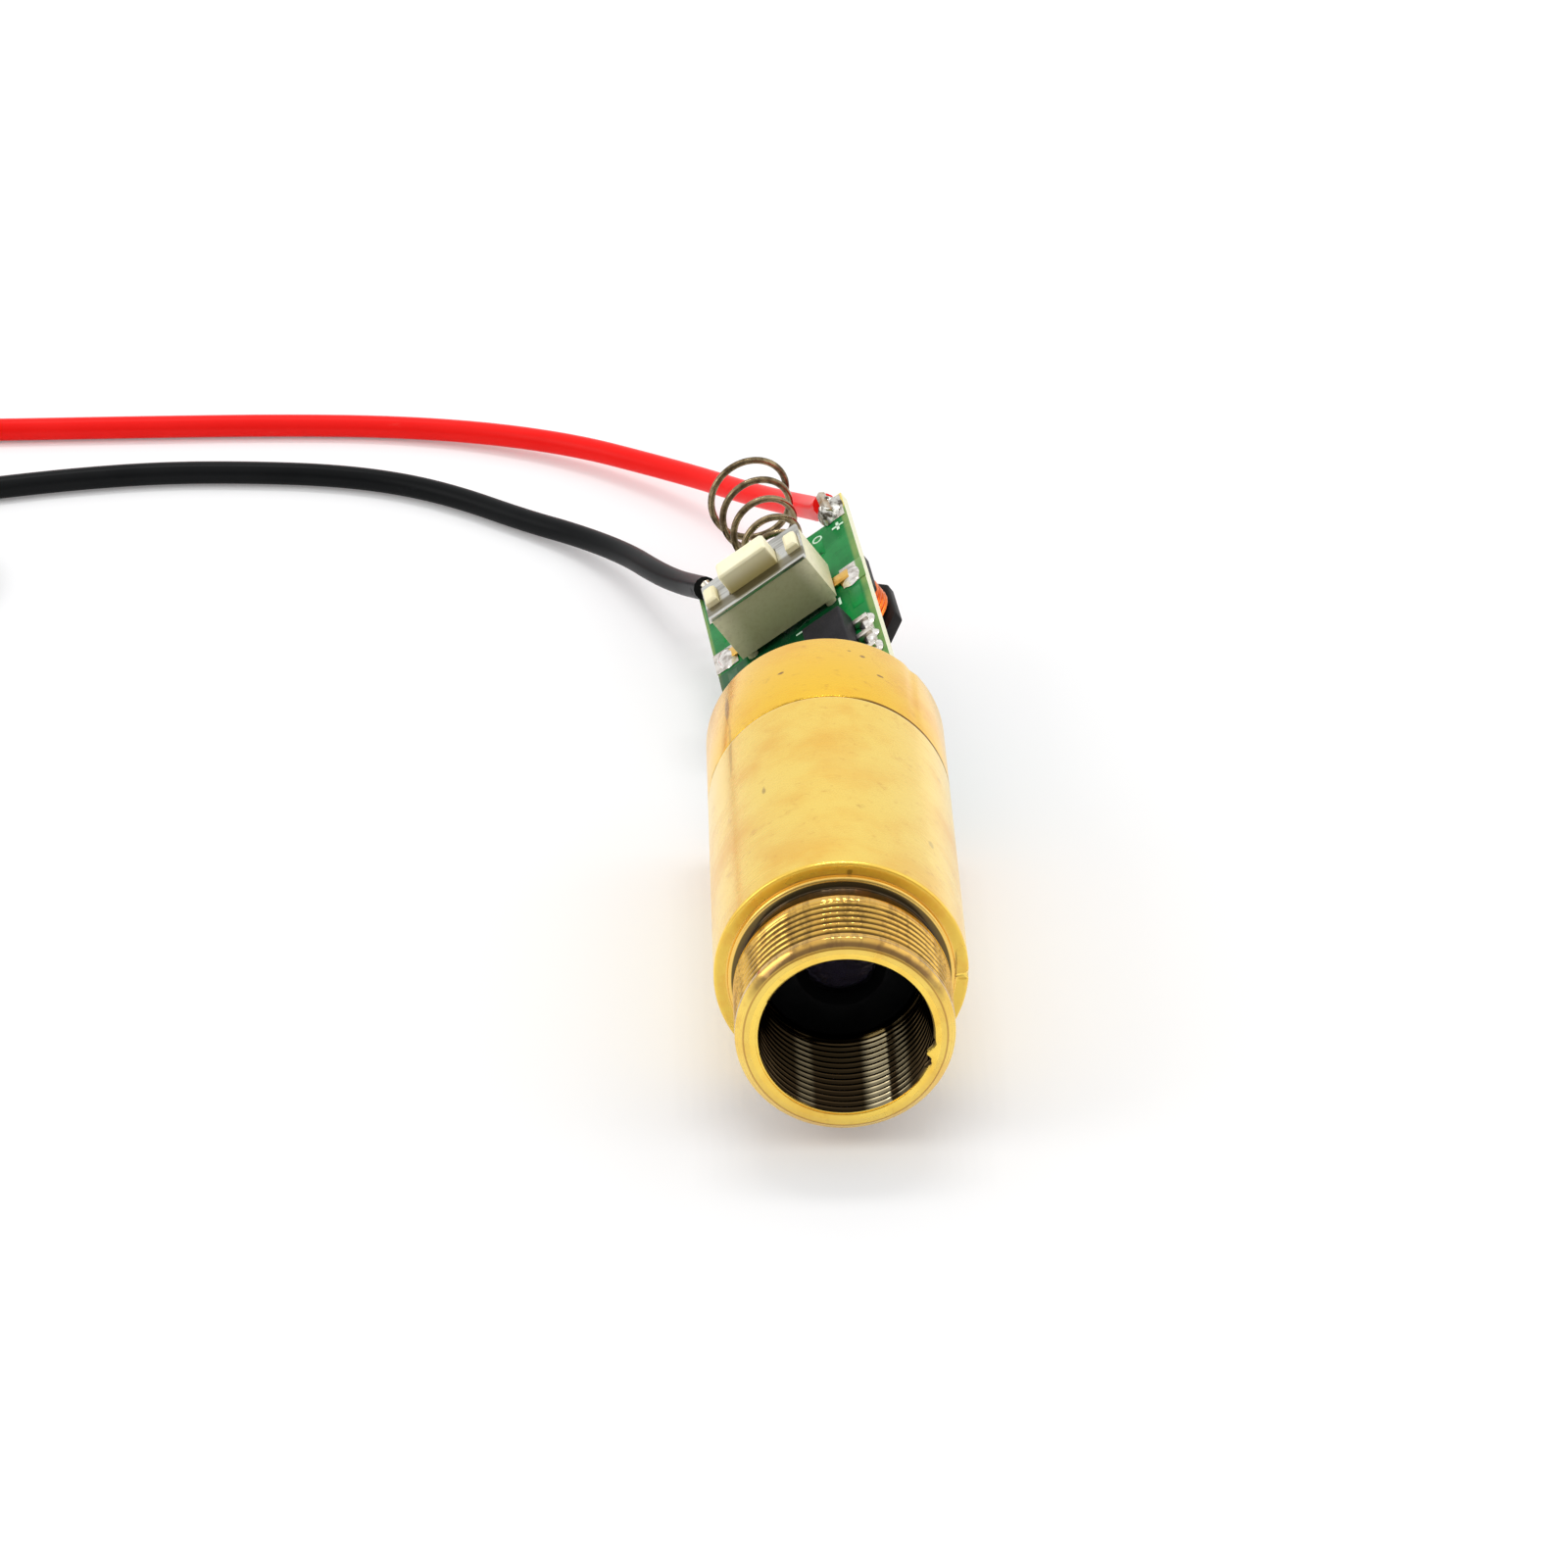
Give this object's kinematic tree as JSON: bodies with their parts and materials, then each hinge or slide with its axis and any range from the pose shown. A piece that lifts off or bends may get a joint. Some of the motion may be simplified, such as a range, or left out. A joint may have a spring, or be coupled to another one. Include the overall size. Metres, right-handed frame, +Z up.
{
  "type": "laser pointer core",
  "caption": "Brass laser pointer core with a threaded nose and bore, and a driver board behind it with push switch, battery spring and a red and a black lead.",
  "frame": {"origin": "centre of the nose's front face, on the optical axis", "axes": "the beam leaves along -Y; +Z up with the barrel lying on its side; +X to the right seen from the nose"},
  "size_m": [0.0729, 0.0968, 0.012],
  "materials": {
    "brass": "turned, lightly worn",
    "black_anodised": "matt black anodised",
    "lens_glass": "clear, coated",
    "steel": "bright rolled",
    "gold_plate": "gold flash",
    "board_green": "green solder mask on glass fibre",
    "tin": "tinned copper and solder",
    "switch_body": "moulded, satin",
    "switch_cream": "moulded, satin",
    "chip_black": "moulded epoxy",
    "ferrite": "matt ferrite",
    "copper_wire": "enamelled copper",
    "resistor_black": "glazed",
    "capacitor_tan": "fired ceramic",
    "spring_steel": "drawn wire",
    "red_insulation": "soft red insulation",
    "black_insulation": "soft black insulation"
  },
  "bodies": {
    "core": {"barrel": "brass", "rear_collar": "brass", "lens_cell": "black_anodised", "collimating_lens": "lens_glass", "lens_ring": "black_anodised", "focus_spring": "spring_steel", "diode_base": "gold_plate", "diode_cap": "steel", "diode_window": "lens_glass", "diode_pins": "gold_plate", "circuit_board": "board_green", "board_pads": "tin", "switch_housing": "switch_body", "switch_cover": "steel", "switch_dome": "steel", "switch_terminals": "gold_plate", "driver_chip": "chip_black", "chip_legs": "tin", "inductor_core": "ferrite", "inductor_winding": "copper_wire", "chip_resistors": "resistor_black", "chip_capacitors": "capacitor_tan", "ceramic_ends": "tin", "contact_spring": "spring_steel", "lead_conductors": "tin", "pin_solder": "tin", "lead_solder": "tin", "spring_solder": "tin", "switch_solder": "tin", "chip_solder": "tin", "red_wire": "red_insulation", "red_wire_coil": "red_insulation", "red_wire_tip": "tin", "black_wire": "black_insulation", "black_wire_coil": "black_insulation", "black_wire_tip": "tin"},
    "button": {"switch_button": "switch_cream"}
  },
  "joints": [
    {"name": "button_press", "type": "slide", "parent": "core", "child": "button", "axis": [0.5723, 0.0835, -0.8158], "range_m": [0, 0.00025], "stiffness_N_per_m": 640}
  ]
}
